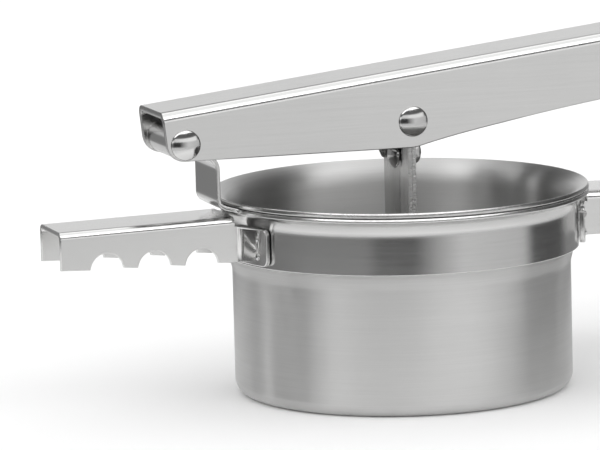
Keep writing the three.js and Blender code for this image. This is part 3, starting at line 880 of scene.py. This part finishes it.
def steel(name, grain, tone, roughness, spread=0.08, bump=0.2, smudge=0.1, brushed=0, relief=0.03):
    """Bare stainless steel: grain in its roughness and bump, faint smudges in its colour."""
    nodes = Nodes(bpy.data.materials.new(name))
    along_grain, plain = grain(nodes)
    fine = nodes.noise(along_grain, 1.0, 4, 0.7)
    coarse = nodes.noise(along_grain, 0.3, 2, 0.5)
    cloud = nodes.noise(plain, 55, 3, 0.55)
    streaks = nodes.math("ADD", nodes.math("MULTIPLY", fine, 0.65), nodes.math("MULTIPLY", coarse, 0.35))
    mixed = nodes.math("ADD", nodes.math("MULTIPLY", streaks, 0.7), nodes.math("MULTIPLY", cloud, 0.3))
    rough = nodes.ranged(mixed, 0.3, 0.7, roughness - spread / 2, roughness + spread / 2)
    nodes.link(rough, nodes.shader.inputs["Roughness"])
    shade = nodes.ranged(mixed, 0.3, 0.7, 1 + smudge / 2, 1 - smudge / 2)
    colour = nodes.add("ShaderNodeCombineColor")
    for index, tint in enumerate((1.0, 0.998, 0.99)):
        nodes.link(nodes.math("MULTIPLY", shade, tone * tint), colour.inputs[index])
    nodes.link(colour.outputs[0], nodes.shader.inputs["Base Color"])
    raised = nodes.add("ShaderNodeBump")
    raised.inputs["Strength"].default_value = bump
    raised.inputs["Distance"].default_value = relief * MM
    nodes.link(streaks, raised.inputs["Height"])
    nodes.link(raised.outputs[0], nodes.shader.inputs["Normal"])
    nodes.shader.inputs["Metallic"].default_value = 1
    if brushed:
        tangent = nodes.add("ShaderNodeTangent", direction_type="RADIAL", axis="Z")
        nodes.link(tangent.outputs[0], nodes.shader.inputs["Tangent"])
        nodes.shader.inputs["Anisotropic"].default_value = brushed
        nodes.shader.inputs["Anisotropic Rotation"].default_value = 0.25
    return nodes.owner


def lengthwise(nodes):
    return stretched(nodes, (60, 3600, 3600))


def upright(nodes):
    return stretched(nodes, (2400, 2400, 90))


def even(nodes):
    return stretched(nodes, (1500, 1500, 1500))


def circumferential(nodes):
    return round_grain(nodes, 60, 3600)


def matt_white():
    """The floor: pale, with the faintest unevenness. The steel reflects the studio, not the floor."""
    nodes = Nodes(bpy.data.materials.new("pale_floor"))
    _, plain = even(nodes)
    shade = nodes.ranged(nodes.noise(plain, 3), 0.3, 0.7, 0.9, 0.92)
    colour = nodes.add("ShaderNodeCombineColor")
    for index in range(3):
        nodes.link(shade, colour.inputs[index])
    nodes.link(colour.outputs[0], nodes.shader.inputs["Base Color"])
    nodes.shader.inputs["Roughness"].default_value = 0.9
    nodes.shader.inputs["Specular IOR Level"].default_value = 0.1
    seen = nodes.add("ShaderNodeLightPath")
    clear = nodes.add("ShaderNodeBsdfTransparent")
    chosen = nodes.add("ShaderNodeMixShader")
    distance = nodes.add("ShaderNodeVectorMath", operation="LENGTH")
    nodes.link(plain, distance.inputs[0])
    beyond = nodes.ranged(distance.outputs["Value"], *CARD_SPAN, 0, 1)
    nodes.link(nodes.math("MULTIPLY", seen.outputs["Is Glossy Ray"], beyond), chosen.inputs[0])
    nodes.link(nodes.shader.outputs[0], chosen.inputs[1])
    nodes.link(clear.outputs[0], chosen.inputs[2])
    nodes.link(chosen.outputs[0], nodes.tree.nodes["Material Output"].inputs[0])
    return nodes.owner


# ---- Studio ---------------------------------------------------------------------------------------

# Brightness of the studio, by the angle from the camera in degrees towards the picture's right
WALLS = [
    (-180, 0.95),
    (-170, 0.9),
    (-163, 0.24),
    (-112, 0.28),
    (-100, 0.16),
    (-60, 0.2),
    (-22, 0.18),
    (-14, 0.04),
    (9, 0.04),
    (22, 0.38),
    (33, 0.62),
    (40, 0.76),
    (68, 0.68),
    (86, 0.64),
    (94, 0.04),
    (124, 0.06),
    (134, 0.26),
    (163, 0.28),
    (170, 0.9),
    (180, 0.95),
]
SOFT_BOXES = [
    (-180, 1.25),
    (-150, 1.1),
    (-134, 0.95),
    (-122, 0.05),
    (-112, 0.05),
    (-110, 2.8),
    (-102, 2.8),
    (-100, 0.05),
    (-68, 0.05),
    (-62, 2.5),
    (-46, 2.3),
    (-38, 1.5),
    (-22, 1.4),
    (-12, 1.4),
    (10, 1.6),
    (20, 1.8),
    (76, 1.8),
    (86, 0.1),
    (142, 0.1),
    (150, 0.5),
    (160, 1.15),
    (180, 1.25),
]
STRIP = [  # between the walls and the soft boxes
    (-180, 0.5),
    (-165, 0.12),
    (144, 0.12),
    (156, 0.9),
    (170, 0.9),
    (180, 0.5),
]
BOX_STRENGTH = 1.4
WALL_STRENGTH = 0.6
HORIZON = (0.1, 0.15)  # the cards stand below this height, as a share of straight up
SKIRTING = (-0.24, -0.19)
CEILING = 1.1
BELOW = 0.72
STRIP_FRONT = (0.33, 0.6)  # the strip's lower and upper edge, as shares of straight up
STRIP_BACK = (0.27, 0.76)
STRIP_TURN = (108, 124)  # degrees from the camera over which its edges pass from front to back
STRIP_SOFT = 0.03
CEILING_SPAN = (0.75, 0.95)  # shares of straight up over which the ceiling takes over
WHITE = 1.1  # what the camera and diffuse rays see
CARD_SPAN = (0.12, 0.2)  # metres from the middle over which the floor drops out of reflections


def round_table(nodes, place, table):
    """A brightness read from a table of (degrees, value), at a place from 0 to 1 round the studio."""
    ramp = nodes.add("ShaderNodeValToRGB")
    stops = ramp.color_ramp.elements
    while len(stops) < len(table):
        stops.new(0.5)
    for stop, (degrees, value) in zip(stops, table):
        stop.position = (degrees + 180) / 360
        stop.color = (value, value, value, 1)
    nodes.link(place, ramp.inputs[0])
    return ramp.outputs[0]


def studio():
    """A surround of soft boxes and dark cards, and plain white behind the object."""
    world = bpy.data.worlds.new("studio")
    bpy.context.scene.world = world
    nodes = Nodes(world)
    nodes.tree.nodes.clear()
    coordinates = nodes.add("ShaderNodeTexCoord")
    parts = nodes.add("ShaderNodeSeparateXYZ")
    nodes.link(coordinates.outputs["Generated"], parts.inputs[0])
    x, y, z = parts.outputs
    azimuth = math.radians(CAMERA_AZIMUTH)
    sine, cosine = math.sin(-azimuth), math.cos(azimuth)
    rightward = nodes.math("SUBTRACT", nodes.math("MULTIPLY", x, cosine), nodes.math("MULTIPLY", y, sine))
    behind = nodes.math("ADD", nodes.math("MULTIPLY", x, sine), nodes.math("MULTIPLY", y, cosine))
    angle = nodes.math("ARCTAN2", rightward, nodes.math("MULTIPLY", behind, -1))
    place = nodes.ranged(angle, -math.pi, math.pi, 0, 1)
    away = nodes.math("ABSOLUTE", angle)
    above_edge = []
    turn_start, turn_end = (math.radians(v) for v in STRIP_TURN)
    for front, back in zip(STRIP_FRONT, STRIP_BACK):
        edge = nodes.ranged(away, turn_start, turn_end, front, back)
        above_edge.append(nodes.ranged(nodes.math("SUBTRACT", z, edge), 0, STRIP_SOFT, 0, 1))
    boxes = round_table(nodes, place, SOFT_BOXES)
    strong = nodes.math("MULTIPLY", boxes, BOX_STRENGTH)
    above = nodes.blend(nodes.ranged(z, *CEILING_SPAN, 0, 1), strong, CEILING)
    upper = nodes.blend(above_edge[1], round_table(nodes, place, STRIP), above)
    lit_wall = nodes.math("MULTIPLY", boxes, WALL_STRENGTH)
    cards = round_table(nodes, place, WALLS)
    walls = nodes.blend(nodes.ranged(z, *HORIZON, 0, 1), cards, lit_wall)
    middle = nodes.blend(above_edge[0], walls, upper)
    whole = nodes.blend(nodes.ranged(z, *SKIRTING, 0, 1), BELOW, middle)
    seen = nodes.add("ShaderNodeLightPath")
    surround = nodes.add("ShaderNodeBackground")
    nodes.link(whole, surround.inputs[0])
    white = nodes.add("ShaderNodeBackground")
    white.inputs[1].default_value = WHITE
    white.inputs[0].default_value = (1, 1, 1, 1)
    chosen = nodes.add("ShaderNodeMixShader")
    plain = nodes.math("MAXIMUM", seen.outputs["Is Camera Ray"], seen.outputs["Is Diffuse Ray"])
    nodes.link(plain, chosen.inputs[0])
    nodes.link(surround.outputs[0], chosen.inputs[1])
    nodes.link(white.outputs[0], chosen.inputs[2])
    output = nodes.add("ShaderNodeOutputWorld")
    nodes.link(chosen.outputs[0], output.inputs[0])


def floor():
    """A pale floor under the object, which stays in Blender."""
    made = bmesh.new()
    signs = ((-1, -1), (1, -1), (1, 1), (-1, 1))
    made.faces.new([made.verts.new((x * FLOOR_HALF, y * FLOOR_HALF, 0)) for x, y in signs])
    ground = to_object("floor", made)
    ground.data.materials.append(matt_white())


def camera():
    """The photo's camera: level first, then rolled, then turned off the rim's centre."""
    azimuth = math.radians(-CAMERA_AZIMUTH)
    elevation = math.radians(CAMERA_ELEVATION)
    roll = math.radians(CAMERA_ROLL)
    right = Vector((math.cos(azimuth), -math.sin(azimuth), 0))
    ahead = math.cos(elevation)
    forward = Vector((math.sin(azimuth) * ahead, math.cos(azimuth) * ahead, -math.sin(elevation)))
    up = right.cross(forward)
    across = right * math.cos(roll) - up * math.sin(roll)
    upward = right * math.sin(roll) + up * math.cos(roll)
    level = Matrix((across, upward, -forward)).transposed()
    yaw, pitch = (math.radians(v) for v in CAMERA_AIM)
    target = Vector((math.tan(yaw), math.tan(pitch), -1))
    turn = target.rotation_difference(Vector((0, 0, -1))).to_matrix()
    made = bpy.data.objects.new("camera", bpy.data.cameras.new("camera"))
    bpy.context.scene.collection.objects.link(made)
    made.data.lens = CAMERA_LENS
    made.data.clip_start = 0.05
    made.data.clip_end = 20
    place = (Vector((0, 0, RIM_Z)) - forward * CAMERA_DISTANCE) * MM
    made.matrix_world = Matrix.Translation(place) @ (level @ turn).to_4x4()
    bpy.context.scene.camera = made


# ---- Assembly -------------------------------------------------------------------------------------


def fit(piece, body, node, material, edge=None):
    """Gives a piece its materials, and puts it in place of its CAD node."""
    piece.data.materials.append(material)
    if edge:
        piece.data.materials.append(edge)
    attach(piece, body)
    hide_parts(node)


channel_steel = steel("channel_steel", lengthwise, 0.76, 0.18, bump=0.08, smudge=0.06)
ring_steel = steel("ring_steel", circumferential, 0.62, 0.17, bump=0.12, brushed=0.2)
basket_steel = steel("basket_steel", circumferential, 0.68, 0.38, brushed=1)
strip_steel = steel("strip_steel", upright, 0.62, 0.26, bump=0.4)
rivet_steel = steel("rivet_steel", even, 0.66, 0.13, spread=0.05, bump=0.1)
cut_steel = steel("cut_edge", even, 0.66, 0.24, spread=0.14, bump=0.45, smudge=0.3, relief=0.05)
# The lever's cut edges get a much darker tone than the other cut edges: a painted dark reflection of the
# floor and basket under the lever, not a colour of the steel.
lever_edge_painted_dark = steel("lever_edge_painted_dark", even, 0.42, 0.24, spread=0.14, bump=0.45, smudge=0.3, relief=0.05)
sheared_steel = steel("sheared_edge", even, 0.62, 0.3, spread=0.2, bump=1, smudge=0.4, relief=0.25)
bead_steel = steel("weld_bead", even, 0.55, 0.1, spread=0.06, bump=0.3, smudge=0.3)

bpy.context.scene.view_settings.view_transform = "Standard"
camera()
studio()
floor()
fit(holder_ring(), "root", "holder_ring", ring_steel, cut_steel)
fit(basket(), "root", "basket", basket_steel, cut_steel)
fit(pot_rest(), "root", "pot_rest", channel_steel, cut_steel)
fit(rear_handle(), "root", "rear_handle", channel_steel, cut_steel)
# The lever's edges take the darker tone that paints a dark reflection on them.
fit(lever(), "lever", "lever", channel_steel, lever_edge_painted_dark)
fit(cross_rivet("lever_pin", PIVOT), "lever", "lever_rivet", rivet_steel)
fit(cross_rivet("plunger_pin", PLUNGER_PIN), "lever", "plunger_rivet", rivet_steel)
fit(plunger_post(), "plunger", "plunger_post", strip_steel, sheared_steel)
fit(press_plate(), "plunger", "press_plate", basket_steel)
clamp = short_rivet("clamp_rivet", "post_rivet", CLAMP_HEAD, True, CLAMP_SHANK)
fit(clamp, "plunger", "post_rivet", rivet_steel)
for side in ("left", "right"):
    rivet = short_rivet(f"pan_rivet_{side}", f"plate_rivet_{side}", PLATE_HEAD, False, PLATE_SHANK)
    fit(rivet, "plunger", f"plate_rivet_{side}", rivet_steel)

for side, name in ((1, "far"), (-1, "near")):
    bead_x = PLUNGER_PIN.x - side * BEAD_SHIFT
    place = Vector((bead_x, side * (POST_HALF - BEAD_INSET), RIM_Z + BEAD_HEIGHT))
    blob = bead(f"post_bead_{name}", place, BEAD_SIZE, 5 * side)
    blob.data.materials.append(bead_steel)
    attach(blob, "plunger")
for facing, angle in ((-1, REST_SPOT_ANGLE), (1, HANDLE_SPOT_ANGLE)):
    for spot in spot_welds(facing, angle, SPOT_DEPTHS):
        spot.data.materials.append(bead_steel)
        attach(spot, "root")
